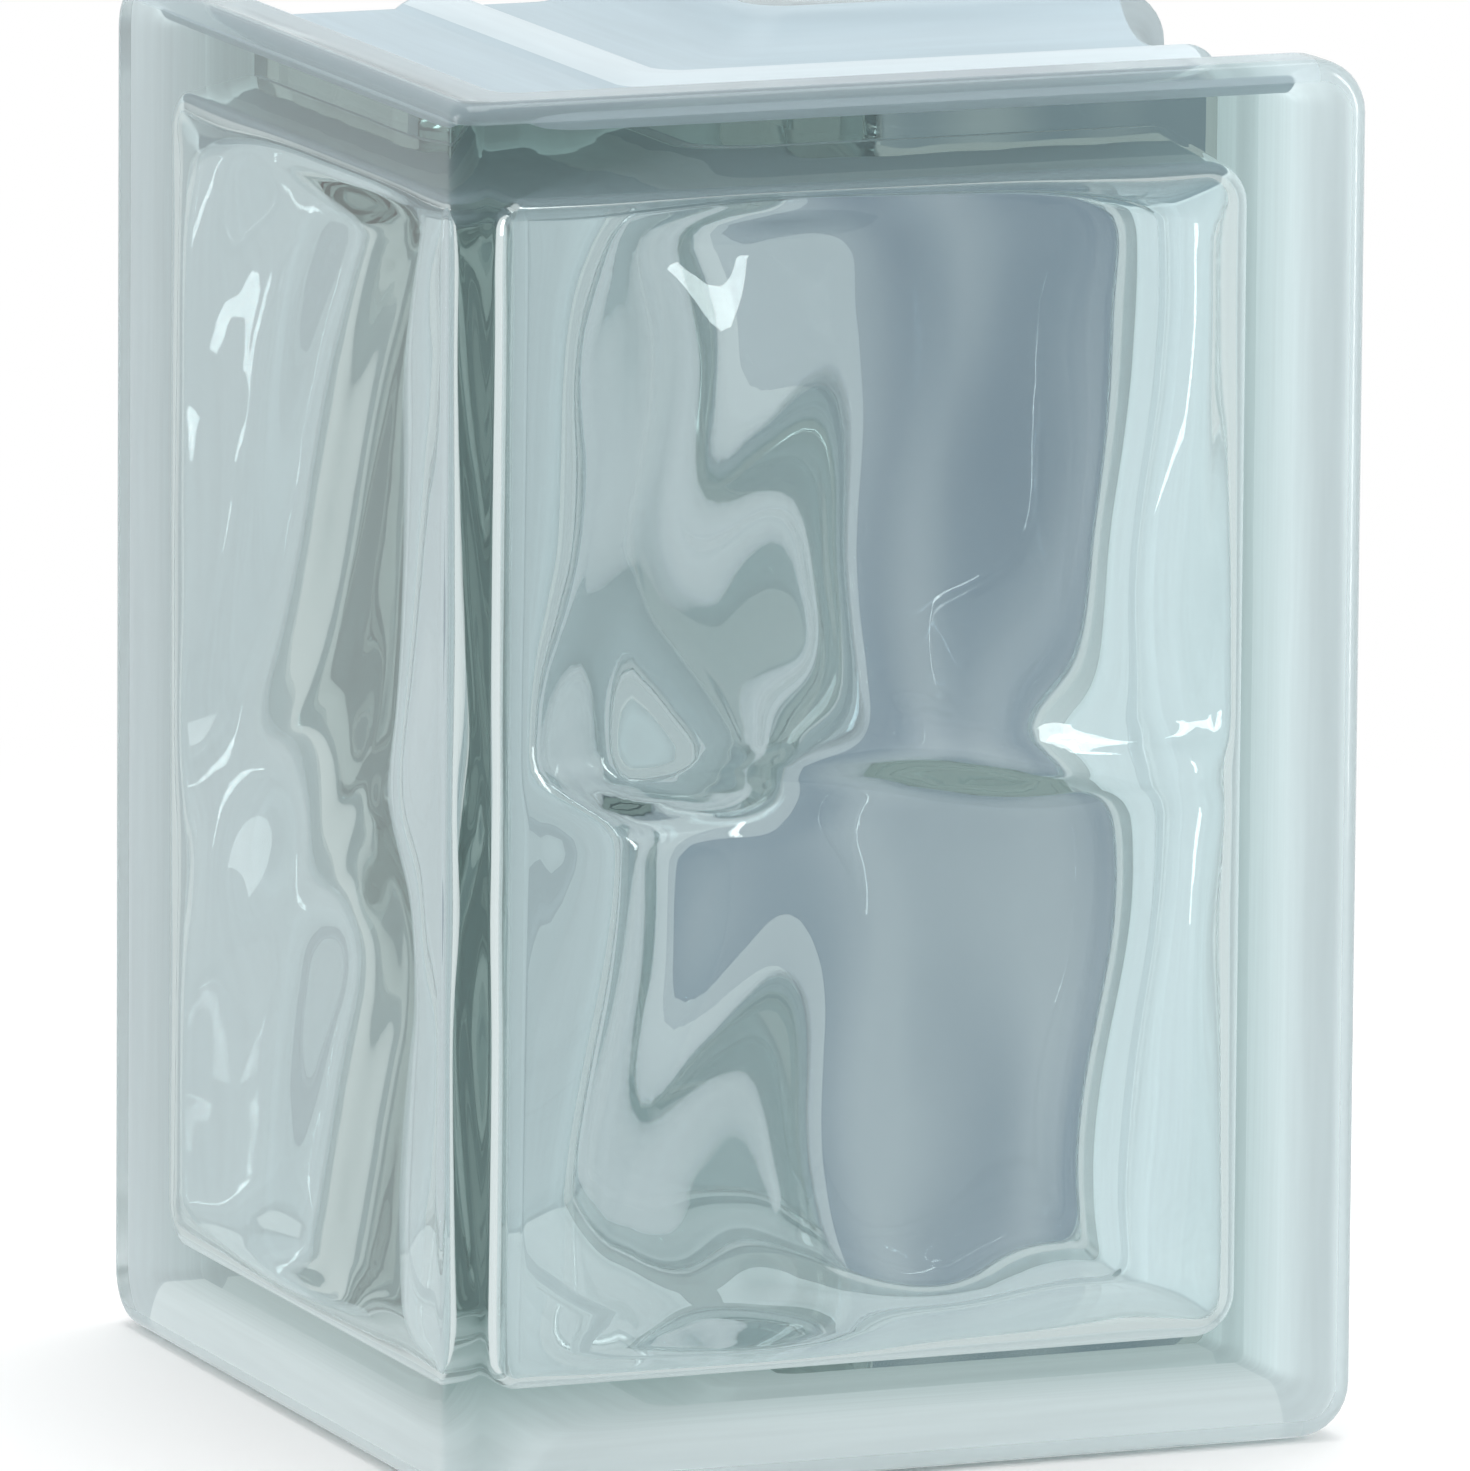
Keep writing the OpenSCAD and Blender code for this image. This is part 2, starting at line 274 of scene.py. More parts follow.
def add(tree, kind, links=None, **settings):
    """Add a node, set its settings and its input sockets, linked or constant."""
    node = tree.nodes.new(kind)
    for name, value in settings.items():
        setattr(node, name, value)
    for name, value in (links or {}).items():
        if isinstance(value, bpy.types.NodeSocket):
            tree.links.new(value, node.inputs[name])
        else:
            node.inputs[name].default_value = value
    return node


def hollow(distance, radius):
    """Height of a hollow rounding at a distance from its wall."""
    c = radius - min(radius, max(0.0, distance))
    return radius - math.sqrt(radius * radius - c * c)


def rise(t):
    """Smooth rise from 0 to 1."""
    c = min(1.0, max(0.0, t))
    return c * c * (3 - 2 * c)


def arc(centre, radius, start, end, count):
    """Points of an arc between two angles in degrees."""
    angles = np.radians(np.linspace(start, end, count + 1))
    return [(centre[0] + radius * math.cos(a), centre[1] + radius * math.sin(a)) for a in angles]


class Shell:
    """Vertices and faces of a mesh, with what the waves and the materials need to know."""

    def __init__(self):
        self.points = []
        self.faces = []
        self.inner = []
        self.coat = []
        self.thick = []
        self.white = []
        self.rim = []
        self.unfold = []
        self.push = []
        self.across = []

    def point(self, place, unfold=0.0, push=(0.0, 0.0, 0.0), across=0.0):
        """Add a vertex and give its number."""
        self.points.append(place)
        self.unfold.append(unfold)
        self.push.append(push)
        self.across.append(across)
        return len(self.points) - 1

    def face(self, numbers, inner=0.0, coat=0.0, thick=0.0, white=0.0, rim=False):
        """Add a face: shares of the inner faces' painted shade, of coat, of thick coat (painted shade) and of
        whiter coat (painted highlight), and whether it is rim.
        """
        self.faces.append(tuple(numbers))
        self.inner.append(inner)
        self.coat.append(coat)
        self.thick.append(thick)
        self.white.append(white)
        self.rim.append(float(rim))

    def mesh(self, name):
        """Turn the shell into a mesh with attributes, in the frame's place."""
        made = bpy.data.meshes.new(name)
        made.from_pydata(np.array(self.points) + np.array(OUTER_LOW), [], self.faces)
        push = made.attributes.new("push", "FLOAT_VECTOR", "POINT")
        push.data.foreach_set("vector", np.ravel(self.push))
        kept = {"POINT": ("unfold", "across"), "FACE": ("inner", "coat", "thick", "white", "rim")}
        for domain, names in kept.items():
            for each in names:
                made.attributes.new(each, "FLOAT", domain).data.foreach_set("value", getattr(self, each))
        made.polygons.foreach_set("use_smooth", [True] * len(self.faces))
        made.update()
        return made


def swap(place):
    """The like place on the other wing."""
    return (place[1], place[0], place[2])


def rim_profile(rim):
    """Section of the rim, from outer to inner face: distance from the outer face, height above the lips."""
    hold = 0.25 * MM
    reach = rim.nose + rim.cove
    cove_end = rim.lip + math.sqrt(rim.channel * (2 * reach - rim.channel))
    nose = (rim.lip, -rim.nose)
    cove = (cove_end, rim.cove - rim.channel)
    lean = math.degrees(math.atan2(cove[1] - nose[1], cove[0] - nose[0]))
    bead_r = (rim.bead_w ** 2 / 4 + rim.bead_h ** 2) / (2 * rim.bead_h)
    bead_a = math.degrees(math.asin(rim.bead_w / 2 / bead_r))
    side = [(0.0, -rim.edge - hold)]
    side += arc((rim.edge, -rim.edge), rim.edge, 180, 90, 8)
    side += [(rim.edge + hold, 0.0), (rim.lip - hold, 0.0)]
    side += arc(nose, rim.nose, 90, lean, 6)
    side += arc(cove, rim.cove, lean + 180, 270, 8)[1:]
    side += [(cove_end + hold, -rim.channel)]
    bead_low = [(rim.seam - rim.bead_w / 2 - 2 * hold, -rim.channel)]
    bead = arc((rim.seam, rim.bead_h - rim.channel - bead_r), bead_r, 90 + bead_a, 90 - bead_a, 10)
    bead_high = [(rim.seam + rim.bead_w / 2 + 2 * hold, -rim.channel)]
    other = [(rim.thick - s, v) for s, v in reversed(side)]
    return side + bead_low + bead + bead_high + other


def rim_stations():
    """Stations from the mitre at the top round the end of a wing to the mitre at the bottom."""
    hold = 0.005
    runs = [hold] + list(np.linspace(0.1, 0.9, 5)) + [1 - hold]
    top = [("fold", a) for a in np.linspace(45, 0, 7)] + [("run", t) for t in runs]
    corner = [("corner", a) for a in np.linspace(0, 90, 9)]
    half = top + corner + [("end", hold)]
    low = []
    for kind, t in reversed(half):
        turned = {"corner": 180 - t, "end": 1 - t}.get(kind, t)
        low.append((kind, turned, True))
    return half + [("end", 0.5)] + low


def rim_place(rim, s, v, station):
    """Place of a point of the section at a station of the wing along X."""
    kind, t, low = station if len(station) == 3 else station + (False,)
    bend = rim.fold + (rim.inner_fold - rim.fold) * s / rim.thick
    centre = s + bend
    base = rim.wing - rim.corner
    radius = rim.corner + v
    x, y, z = base, s, rim.height + v
    if kind == "fold":
        x = centre - bend * math.sin(math.radians(t))
        y = centre - bend * math.cos(math.radians(t))
    elif kind == "run":
        x = centre + t * (base - centre)
    elif kind == "corner":
        x = base + radius * math.sin(math.radians(t))
        z = (rim.corner if low else rim.height - rim.corner) + radius * math.cos(math.radians(t))
    else:
        x = rim.wing + v
        z = rim.height - rim.corner - t * (rim.height - 2 * rim.corner)
    if low and kind in ("fold", "run"):
        z = -v
    return (x, y, z)


def make_rim(shell, rim):
    """Outside of the block: the rim swept round its edges, and the flat faces."""
    profile = rim_profile(rim)
    stations = rim_stations()
    half = len(stations)
    rows = []
    for s, v in profile:
        one = [rim_place(rim, s, v, station) for station in stations]
        loop = one + [swap(place) for place in reversed(one[1:-1])]
        rows.append([shell.point(place, across=s) for place in loop])
    count = len(rows[0])
    ends = [m for m, station in enumerate(stations) if station[0] in ("corner", "end")]
    for k in range(len(rows) - 1):
        inside = rim.lip < profile[k][0] < rim.thick - rim.lip
        flat = rim.edge < profile[k][0] < rim.thick - rim.edge
        coat = 1.0 if inside else LIP_COAT if flat else EDGE_COAT
        bead = abs(profile[k][0] - rim.seam) < rim.bead_w / 2
        for m in range(count):
            n = (m + 1) % count
            step = min(m, count - 1 - m)
            end = ends[0] <= step < ends[-1]
            # Painted shade: the coat is drawn thick and greyer along the top and partly at the ends, more on
            # the side wing's end; painted highlight: whiter on the bead
            thick = 1.0 if step < ends[0] else 0.0
            white = BEAD_PAINTED_HIGHLIGHT if bead and step < ends[0] else 0.0
            if end:
                thick = SIDE_END_PAINTED_SHADE if m >= half else FRONT_END_PAINTED_SHADE
            quad = (rows[k][n], rows[k + 1][n], rows[k + 1][m], rows[k][m])
            shell.face(quad, coat=coat, thick=thick, white=white, rim=True)
    top = sum(1 for kind in stations[:half // 2] if kind[0] in ("fold", "run"))
    for row, turned in ((rows[0], True), (rows[-1], False)):
        wing_x = row[:half]
        wing_y = [row[0]] + row[:half - 2:-1]
        # Painted shade: the inner faces get a grey-blue tint, less on the side wing
        for wing, back, tint in ((wing_x, turned, 1.0), (wing_y, not turned, SIDE_PAINTED_SHADE)):
            faces = [(wing[m], wing[m + 1], wing[half - 2 - m], wing[half - 1 - m]) for m in range(top)]
            faces.append(wing[top:half - top])
            for numbers in faces:
                shell.face(reversed(numbers) if back else numbers, inner=0.0 if turned else tint)


def packed(radius, count):
    """Distances from a wall to the end of its rounding, packed towards the wall."""
    return [radius * (1 - math.cos(math.pi / 2 * k / count)) for k in range(count + 1)]


def make_cavity(shell, rim, cavity, relief):
    """Inside of the block: two wavy trays, and the walls between them with the ridge of the seam."""
    steps, levels, pack = 64, 80, 8
    low, high = cavity.level_frame, rim.height - cavity.level_frame
    end = rim.wing - cavity.end_frame
    outer_s, inner_s = cavity.face, rim.thick - cavity.face
    outer_c, inner_c = outer_s + cavity.fold, rim.thick + rim.inner_fold
    wall = max(cavity.corner, cavity.fillet)
    tail = wall / (end - outer_c)
    turns = [math.radians(a) for a in np.linspace(45, 0, 9)[:-1]]
    runs = [(1 - tail) * k / steps for k in range(steps)]
    runs += [1 - tail * d for d in reversed(packed(1.0, pack))]
    rows = [low + d for d in packed(wall, pack)[:-1]]
    rows += list(np.linspace(low + wall, high - wall, levels + 1)[:-1])
    rows += [high - d for d in reversed(packed(wall, pack))]
    last = len(turns) + len(runs) - 1
    top = len(rows) - 1

    def gap(z):
        return min(z - low, high - z)

    def lean(z):
        return max(0.0, 1 - gap(z) / cavity.corner)

    def reach(z):
        return end - hollow(gap(z), cavity.corner)

    def inset(x, z):
        ex = cavity.corner - end + x
        ez = cavity.corner - gap(z)
        return cavity.corner - math.hypot(ex, ez) if ex > 0 and ez > 0 else min(end - x, gap(z))

    def tray(s, centre, way):
        """One wavy face: its columns from one wing's end to the other's."""
        radius = centre - s
        columns = []
        for column in range(-last, last + 1):
            i, sign = abs(column), (-1 if column < 0 else 1)
            numbers = []
            for z in rows:
                if i < len(turns):
                    a = turns[i]
                    unfold = radius * (math.pi / 4 - a)
                    depth = gap(z)
                    r = radius - way * hollow(depth, cavity.fillet)
                    place = (centre - r * math.sin(a), centre - r * math.cos(a), z)
                    push = (way * math.sin(a), way * math.cos(a), 0.0)
                else:
                    x = centre + runs[i - len(turns)] * (reach(z) - centre)
                    unfold = radius * math.pi / 4 + x - centre
                    depth = inset(x, z)
                    place = (x, s + way * hollow(depth, cavity.fillet), z)
                    push = (0.0, float(way), 0.0)
                weight = rise(depth / relief.fade) * rise(unfold / relief.fold_fade)
                push = tuple(weight * p for p in push)
                if sign < 0:
                    place, push = swap(place), swap(push)
                numbers.append(shell.point(place, sign * unfold, push))
            columns.append(numbers)
        for i in range(2 * last):
            for j in range(top):
                quad = (columns[i][j], columns[i + 1][j], columns[i + 1][j + 1], columns[i][j + 1])
                # Painted shade: the inner tray is tinted, less on the side wing, and lighter towards the foot
                tint = 0.0 if way > 0 else SIDE_PAINTED_SHADE if i < last else 1.0
                tint *= FOOT_PAINTED_SHADE + (1 - FOOT_PAINTED_SHADE) * j / top
                shell.face(reversed(quad) if way > 0 else quad, inner=tint)
        return columns

    def edge(columns):
        """Numbers of a tray's outline, in order."""
        ring = [(i, top) for i in range(2 * last)] + [(2 * last, j) for j in range(top, 0, -1)]
        ring += [(i, 0) for i in range(2 * last, 0, -1)] + [(0, j) for j in range(top)]
        return ring if columns is None else [columns[i][j] for i, j in ring]

    def wall_place(column, j, s):
        """Place on the walls of the cavity at a distance from the outer face."""
        i, z = abs(column - last), rows[j]
        base = outer_s + cavity.fillet if s < rim.seam else inner_s - cavity.fillet
        widen = cavity.draft * (s - base) / (rim.seam - base)
        widen -= cavity.ridge_h * rise(1 - abs(s - rim.seam) / (cavity.ridge_w / 2))
        tip = lean(z)
        centre = outer_c + (inner_c - outer_c) * (s - outer_s) / (inner_s - outer_s)
        level = z + (1 if z > rim.height / 2 else -1) * tip * widen
        stop = reach(z) + widen * math.sqrt(1 - tip * tip)
        if i < len(turns):
            r = centre - s
            place = (centre - r * math.sin(turns[i]), centre - r * math.cos(turns[i]), level)
        else:
            place = (centre + runs[i - len(turns)] * (stop - centre), s, level)
        return swap(place) if column < last else place

    outer = tray(outer_s, outer_c, 1)
    inner = tray(inner_s, inner_c, -1)
    ridge = rim.seam + cavity.ridge_w * np.linspace(-0.7, 0.7, 15)
    before = np.linspace(outer_s + cavity.fillet, ridge[0], 5)[1:-1]
    after = np.linspace(ridge[-1], inner_s - cavity.fillet, 4)[1:-1]
    places = [*before, *ridge, *after]
    rings = [edge(outer)]
    for s in places:
        rings.append([shell.point(wall_place(i, j, s)) for i, j in edge(None)])
    rings.append(edge(inner))
    count = len(rings[0])
    for s, one, two in zip([outer_s, *places], rings, rings[1:]):
        # Painted shade: a dark line of the inner tint along the seam's ridge
        tint = RIDGE_PAINTED_SHADE if abs(s - rim.seam) < cavity.ridge_w / 2 else 0.0
        for m in range(count):
            n = (m + 1) % count
            shell.face((two[m], two[n], one[n], one[m]), inner=tint)


def wave_tree(material):
    """Geometry Nodes that press the waves into the faces and lay the material on."""
    tree = bpy.data.node_groups.new("pressed waves", "GeometryNodeTree")
    face = tree.interface
    face.new_socket("Geometry", in_out="INPUT", socket_type="NodeSocketGeometry")
    sizes = {}
    for run in RUNS:
        for name in BLOCK_PG_waves.__annotations__:
            socket = face.new_socket(f"{run} {name}", in_out="INPUT", socket_type="NodeSocketFloat")
            sizes[run, name] = socket.identifier
    face.new_socket("Geometry", in_out="OUTPUT", socket_type="NodeSocketGeometry")
    given = add(tree, "NodeGroupInput").outputs
    kind, named = "ShaderNodeMath", "GeometryNodeInputNamedAttribute"
    unfold = add(tree, named, {"Name": "unfold"}, data_type="FLOAT").outputs["Attribute"]
    push = add(tree, named, {"Name": "push"}, data_type="FLOAT_VECTOR").outputs["Attribute"]
    along = add(tree, kind, {0: unfold}, operation="ABSOLUTE").outputs[0]
    place = add(tree, "GeometryNodeInputPosition").outputs[0]
    level = add(tree, "ShaderNodeSeparateXYZ", {0: place}).outputs["Z"]
    heights = {}
    for run in RUNS:
        size = {name: given[f"{run} {name}"] for name in BLOCK_PG_waves.__annotations__}
        jump = add(tree, "ShaderNodeMapRange", {
            "Value": level, "From Min": size["jog_low"], "From Max": size["jog_high"],
        }, interpolation_type="SMOOTHSTEP").outputs[0]
        turn = add(tree, kind, {0: level, 1: size["sway_start"]}, operation="SUBTRACT").outputs[0]
        turn = add(tree, kind, {0: turn, 1: size["sway_pitch"]}, operation="DIVIDE").outputs[0]
        turn = add(tree, kind, {0: turn, 1: math.tau}, operation="MULTIPLY").outputs[0]
        turn = add(tree, kind, {0: turn}, operation="SINE").outputs[0]
        line = size["start"]
        for amount, name in ((level, "lean"), (jump, "jog"), (turn, "sway")):
            line = add(tree, kind, {0: amount, 1: size[name], 2: line}, operation="MULTIPLY_ADD").outputs[0]
        phase = add(tree, kind, {0: along, 1: line}, operation="SUBTRACT").outputs[0]
        phase = add(tree, kind, {0: phase, 1: size["pitch"]}, operation="DIVIDE").outputs[0]
        phase = add(tree, kind, {0: phase, 1: math.tau}, operation="MULTIPLY").outputs[0]
        phase = add(tree, kind, {0: phase}, operation="SINE").outputs[0]
        heights[run] = add(tree, kind, {0: phase, 1: size["height"]}, operation="MULTIPLY").outputs[0]
    front = add(tree, kind, {0: heights["broad"], 1: heights["narrow"]}, operation="ADD").outputs[0]
    flank = add(tree, kind, {0: heights["side"], 1: heights["ripple"]}, operation="ADD").outputs[0]
    sideways = add(tree, kind, {0: unfold, 1: 0.0}, operation="LESS_THAN").outputs[0]
    height = add(tree, "ShaderNodeMix", {0: sideways, 2: front, 3: flank}, data_type="FLOAT").outputs[0]
    offset = add(tree, "ShaderNodeVectorMath", {0: push, "Scale": height}, operation="SCALE").outputs[0]
    moved = add(tree, "GeometryNodeSetPosition", {"Geometry": given["Geometry"], "Offset": offset}).outputs[0]
    real = add(tree, "GeometryNodeRealizeInstances", {"Geometry": moved}).outputs[0]
    done = add(tree, "GeometryNodeSetMaterial", {"Geometry": real, "Material": material}).outputs[0]
    add(tree, "NodeGroupOutput", {"Geometry": done})
    return tree, sizes


def new_material(name):
    """An empty material and its node tree."""
    material = bpy.data.materials.new(name)
    material.use_nodes = True
    material.node_tree.nodes.clear()
    return material, material.node_tree


def glass_material(looks):
    """Pressed soda-lime glass with an edge coat."""
    material, tree = new_material("pressed soda-lime glass")
    # Glass: clear, green-grey where light runs far through it; the grey-blue through the inner faces is
    # painted shade, in soft streaks, for darker surroundings seen through them
    place = add(tree, "ShaderNodeTexCoord").outputs["Object"]
    inner = add(tree, "ShaderNodeAttribute", attribute_name="inner").outputs["Fac"]
    drawn = add(tree, "ShaderNodeMapping", {
        "Vector": place, "Rotation": (0.0, SHADE_STREAK_LEAN, 0.0), "Scale": SHADE_STREAK_SHAPE,
    }).outputs[0]
    # Painted shade: noise streaks make the inner faces' tint uneven
    shade_streak = add(tree, "ShaderNodeTexNoise", {
        "Vector": drawn, "Scale": 1 / SHADE_STREAK_WIDTH, "Detail": 0.0,
    }).outputs["Fac"]
    shade_streak = add(tree, "ShaderNodeMapRange", {
        "Value": shade_streak, "From Min": 0.3, "From Max": 0.7, "To Min": 0.72, "To Max": 1.05,
    }).outputs[0]
    inner = add(tree, "ShaderNodeMath", {0: inner, 1: shade_streak}, operation="MULTIPLY").outputs[0]
    tint = add(tree, "ShaderNodeMix", {
        0: inner, 6: (*looks.glass, 1.0), 7: (*looks.smoke, 1.0),
    }, data_type="RGBA")
    # The rim has the satin skin of the mould, the faces are fire-polished
    rim = add(tree, "ShaderNodeAttribute", attribute_name="rim").outputs["Fac"]
    satin = add(tree, "ShaderNodeMath", {0: rim, 1: looks.satin}, operation="MULTIPLY").outputs[0]
    # The mould leaves the surface a little uneven
    skin = add(tree, "ShaderNodeTexNoise", {
        "Vector": place, "Scale": 1 / SKIN_WIDTH, "Detail": 0.0,
    }).outputs["Fac"]
    uneven = add(tree, "ShaderNodeBump", {
        "Strength": 0.5, "Distance": SKIN_HEIGHT, "Height": skin,
    }).outputs[0]
    glass = add(tree, "ShaderNodeBsdfPrincipled", {
        "Base Color": tint.outputs[2],
        "Roughness": satin,
        "IOR": 1.52,
        "Transmission Weight": 1.0,
        "Normal": uneven,
    })
    # White latex edge coat: matt and milky, with the streaks of the brush, and light shines through it
    thick = add(tree, "ShaderNodeAttribute", attribute_name="thick").outputs["Fac"]
    across = add(tree, "ShaderNodeAttribute", attribute_name="across").outputs["Fac"]
    across = add(tree, "ShaderNodeMath", {
        0: across, 1: BRUSH_RUN / BRUSH_WIDTH,
    }, operation="MULTIPLY").outputs[0]
    brush = add(tree, "ShaderNodeTexNoise", {
        "Vector": place, "W": across, "Scale": 1 / BRUSH_RUN, "Detail": 2.0,
    }, noise_dimensions="4D").outputs["Fac"]
    # Painted shade: where the coat is thick it is drawn greyer, and it lets less light through, along the top
    # and at the ends
    latex = add(tree, "ShaderNodeMix", {
        0: thick, 6: (*looks.coat, 1.0), 7: (*looks.thick_coat, 1.0),
    }, data_type="RGBA").outputs[2]
    # Painted highlight: the coat on the bead is drawn whiter
    white = add(tree, "ShaderNodeAttribute", attribute_name="white").outputs["Fac"]
    latex = add(tree, "ShaderNodeMix", {
        0: white, 6: latex, 7: (*looks.coat, 1.0),
    }, data_type="RGBA").outputs[2]
    streak = add(tree, "ShaderNodeMapRange", {
        "Value": brush, "From Min": 0.3, "From Max": 0.7, "To Min": 0.94, "To Max": 1.0,
    }).outputs[0]
    latex = add(tree, "ShaderNodeMix", {
        0: 1.0, 6: latex, 7: streak,
    }, data_type="RGBA", blend_type="MULTIPLY").outputs[2]
    brushed = add(tree, "ShaderNodeBump", {
        "Strength": 0.3, "Distance": BRUSH_HEIGHT, "Height": brush,
    }).outputs[0]
    matt = add(tree, "ShaderNodeBsdfPrincipled", {
        "Base Color": latex, "Roughness": 0.5, "IOR": 1.45, "Normal": brushed,
    })
    through = add(tree, "ShaderNodeBsdfTranslucent", {"Color": latex})
    cover = add(tree, "ShaderNodeMix", {
        0: thick, 2: looks.thin, 3: looks.thick,
    }, data_type="FLOAT").outputs[0]
    milk = add(tree, "ShaderNodeMixShader", {0: cover, 1: matt.outputs[0], 2: through.outputs[0]})
    coat = add(tree, "ShaderNodeAttribute", attribute_name="coat").outputs["Fac"]
    surface = add(tree, "ShaderNodeMixShader", {0: coat, 1: glass.outputs[0], 2: milk.outputs[0]})
    depth = add(tree, "ShaderNodeVolumeAbsorption", {"Color": (*looks.depth, 1.0), "Density": looks.density})
    add(tree, "ShaderNodeOutputMaterial", {"Surface": surface.outputs[0], "Volume": depth.outputs[0]})
    return material


class BLOCK_OT_glass(bpy.types.Operator):
    """Make the fused glass block with its wavy cavity and edge coat"""

    bl_idname = "block.glass"
    bl_label = "Glass block"

    def execute(self, context):
        settings = context.scene.glass_block
        relief = settings.relief
        shell = Shell()
        make_rim(shell, settings.rim)
        make_cavity(shell, settings.rim, settings.cavity, relief)
        base = bpy.data.objects.new("base", shell.mesh("base"))
        context.collection.objects.link(base)
        tree, sizes = wave_tree(glass_material(settings.looks))
        modifier = base.modifiers.new("waves", "NODES")
        modifier.node_group = tree
        for (run, name), identifier in sizes.items():
            modifier[identifier] = getattr(getattr(relief, run), name)
        evaluated = base.evaluated_get(context.evaluated_depsgraph_get())
        mesh = bpy.data.meshes.new_from_object(evaluated)
        mesh.name = "glass_block"
        block = bpy.data.objects.new("glass_block", mesh)
        context.collection.objects.link(block)
        bpy.data.objects.remove(base)
        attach(block, "root")
        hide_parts("outer_half", "inner_half")
        return {"FINISHED"}


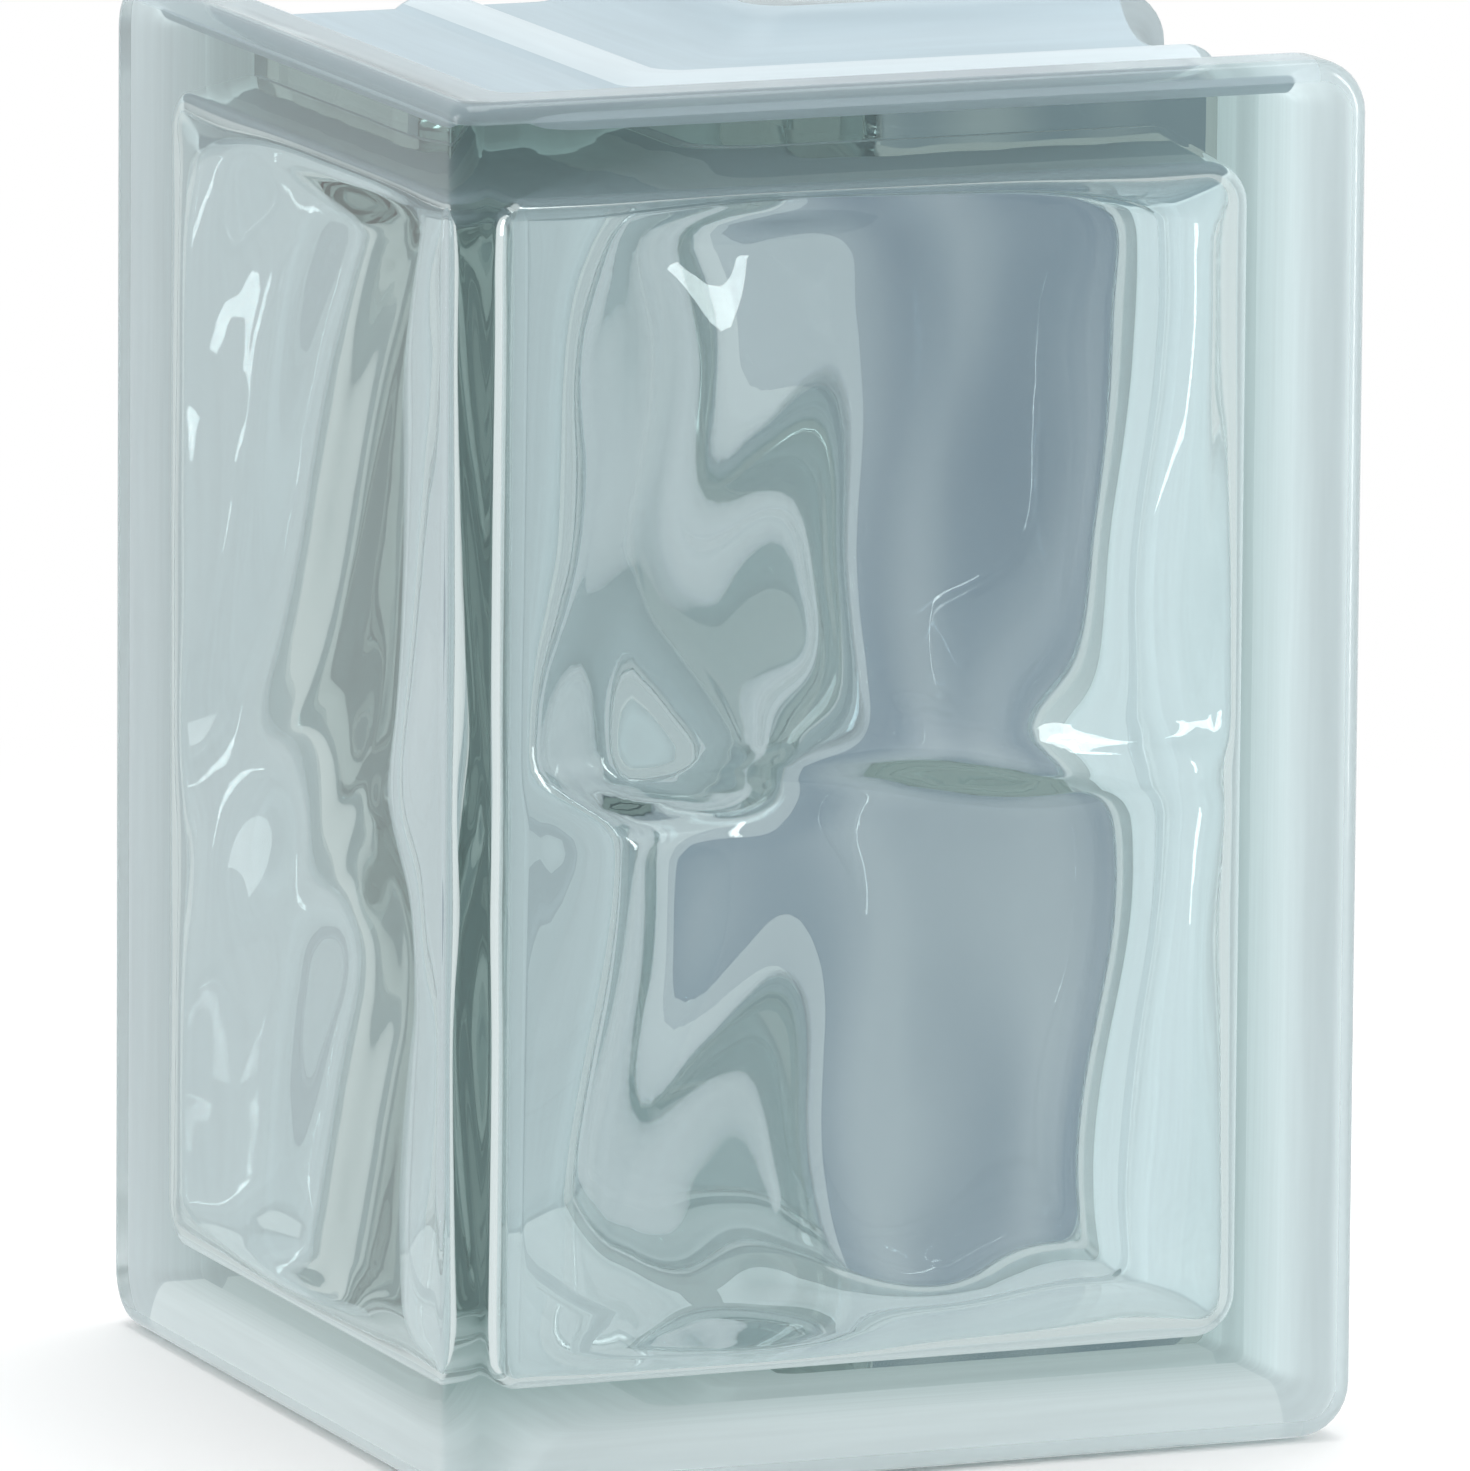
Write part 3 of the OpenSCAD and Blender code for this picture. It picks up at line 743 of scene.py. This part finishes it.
class BLOCK_OT_stage(bpy.types.Operator):
    """Make the floor, the light and the camera"""

    bl_idname = "block.stage"
    bl_label = "Stage"

    def execute(self, context):
        settings = context.scene.glass_block
        stage, rim = settings.stage, settings.rim
        self.make_floor(context, stage)
        self.make_light(context)
        self.make_camera(context, stage, rim)
        context.scene.view_settings.view_transform = "Standard"
        for name, count in BOUNCES.items():
            setattr(context.scene.cycles, name, count)
        return {"FINISHED"}

    def make_floor(self, context, stage):
        mesh = bpy.data.meshes.new("floor")
        corners = [(FLOOR_HALF * x, FLOOR_HALF * y, 0) for x, y in ((-1, -1), (1, -1), (1, 1), (-1, 1))]
        mesh.from_pydata(corners, [], [(0, 1, 2, 3)])
        floor = bpy.data.objects.new("floor", mesh)
        floor.location.z = -FLOOR_DROP
        context.collection.objects.link(floor)
        # Matt white paper: keeps the shadow near the block, and runs out into plain white
        material, tree = new_material("white paper floor")
        path = add(tree, "ShaderNodeLightPath").outputs
        place = add(tree, "ShaderNodeTexCoord").outputs["Object"]
        far = add(tree, "ShaderNodeVectorMath", {0: place}, operation="LENGTH").outputs["Value"]
        far = add(tree, "ShaderNodeMapRange", {
            "Value": far, "From Min": stage.shadow_near, "From Max": stage.shadow_far,
        }, interpolation_type="SMOOTHSTEP").outputs[0]
        kind = "ShaderNodeMath"
        white = add(tree, kind, {0: far, 1: path["Is Camera Ray"]}, operation="MULTIPLY").outputs[0]
        for ray in ("Is Glossy Ray", "Is Transmission Ray"):
            white = add(tree, kind, {0: white, 1: path[ray]}, operation="MAXIMUM").outputs[0]
        paper = add(tree, "ShaderNodeBsdfPrincipled", {"Base Color": (*stage.floor, 1.0), "Roughness": 0.9})
        plain = add(tree, "ShaderNodeEmission", {"Color": WHITE, "Strength": 1.0})
        both = add(tree, "ShaderNodeMixShader", {0: white, 1: paper.outputs[0], 2: plain.outputs[0]})
        add(tree, "ShaderNodeOutputMaterial", {"Surface": both.outputs[0]})
        mesh.materials.append(material)

    def make_light(self, context):
        world = bpy.data.worlds.new("studio")
        context.scene.world = world
        world.use_nodes = True
        tree = world.node_tree
        tree.nodes.clear()
        path = add(tree, "ShaderNodeLightPath").outputs
        seen = path["Is Camera Ray"]
        for ray in ("Is Glossy Ray", "Is Transmission Ray"):
            seen = add(tree, "ShaderNodeMath", {0: seen, 1: path[ray]}, operation="MAXIMUM").outputs[0]
        strength = add(tree, "ShaderNodeMapRange", {
            "Value": seen, "To Min": WORLD_FILL, "To Max": 1.0,
        }).outputs[0]
        back = add(tree, "ShaderNodeBackground", {"Color": WHITE, "Strength": strength})
        add(tree, "ShaderNodeOutputWorld", {"Surface": back.outputs[0]})
        for name, place, size, energy in LAMPS:
            lamp = bpy.data.lights.new(name, "AREA")
            lamp.shape = "RECTANGLE"
            lamp.size, lamp.size_y = size
            lamp.energy = energy
            stand = bpy.data.objects.new(name, lamp)
            stand.visible_camera = False
            turn = (Vector(place) - LAMP_AIM).to_track_quat("Z", "Y").to_matrix().to_4x4()
            stand.matrix_world = Matrix.Translation(place) @ turn
            context.collection.objects.link(stand)

    def make_camera(self, context, stage, rim):
        data = bpy.data.cameras.new("camera")
        data.sensor_fit = "VERTICAL"
        data.sensor_height = SENSOR
        data.lens = stage.focal_px / PHOTO_H * SENSOR
        data.shift_x = (PHOTO_W / 2 - stage.centre_x) / PHOTO_H
        data.shift_y = (stage.centre_y - PHOTO_H / 2) / PHOTO_H
        data.clip_end = CAMERA_REACH
        a, e = stage.azimuth, stage.elevation
        back = Vector((math.sin(a) * math.cos(e), -math.cos(a) * math.cos(e), math.sin(e)))
        camera = bpy.data.objects.new("camera", data)
        turn = back.to_track_quat("Z", "Y").to_matrix() @ Matrix.Rotation(stage.roll, 3, "Z")
        place = Vector((0, 0, rim.height / 2)) + back * stage.distance
        camera.matrix_world = Matrix.Translation(place) @ turn.to_4x4()
        context.collection.objects.link(camera)
        context.scene.camera = camera


class BLOCK_PT_panel(bpy.types.Panel):
    """The block's tools in the sidebar."""

    bl_idname = "BLOCK_PT_panel"
    bl_label = "Glass Block"
    bl_space_type = "VIEW_3D"
    bl_region_type = "UI"
    bl_category = "Glass Block"

    def draw(self, context):
        settings = context.scene.glass_block
        relief = settings.relief
        groups = {
            "Rim": settings.rim, "Cavity": settings.cavity, "Relief": relief,
            "Broad waves": relief.broad, "Narrow waves": relief.narrow,
            "Side waves": relief.side, "Side ripple": relief.ripple,
            "Looks": settings.looks, "Stage": settings.stage,
        }
        for title, group in groups.items():
            box = self.layout.box()
            box.label(text=title)
            for name in group.__annotations__:
                if not isinstance(getattr(group, name), bpy.types.PropertyGroup):
                    box.prop(group, name)
        self.layout.operator("block.glass")
        self.layout.operator("block.stage")


CLASSES = (
    BLOCK_PG_rim, BLOCK_PG_cavity, BLOCK_PG_waves, BLOCK_PG_relief, BLOCK_PG_looks, BLOCK_PG_stage,
    BLOCK_PG_settings,
    BLOCK_OT_glass, BLOCK_OT_stage, BLOCK_PT_panel,
)


def register():
    for made in CLASSES:
        bpy.utils.register_class(made)
    bpy.types.Scene.glass_block = PointerProperty(type=BLOCK_PG_settings)


def unregister():
    del bpy.types.Scene.glass_block
    for made in reversed(CLASSES):
        bpy.utils.unregister_class(made)


def main():
    register()
    relief = bpy.context.scene.glass_block.relief
    for run, values in OTHER_WAVES.items():
        for name, value in values.items():
            setattr(getattr(relief, run), name, value)
    bpy.ops.block.stage()
    bpy.ops.block.glass()


if __name__ == "__main__":
    main()
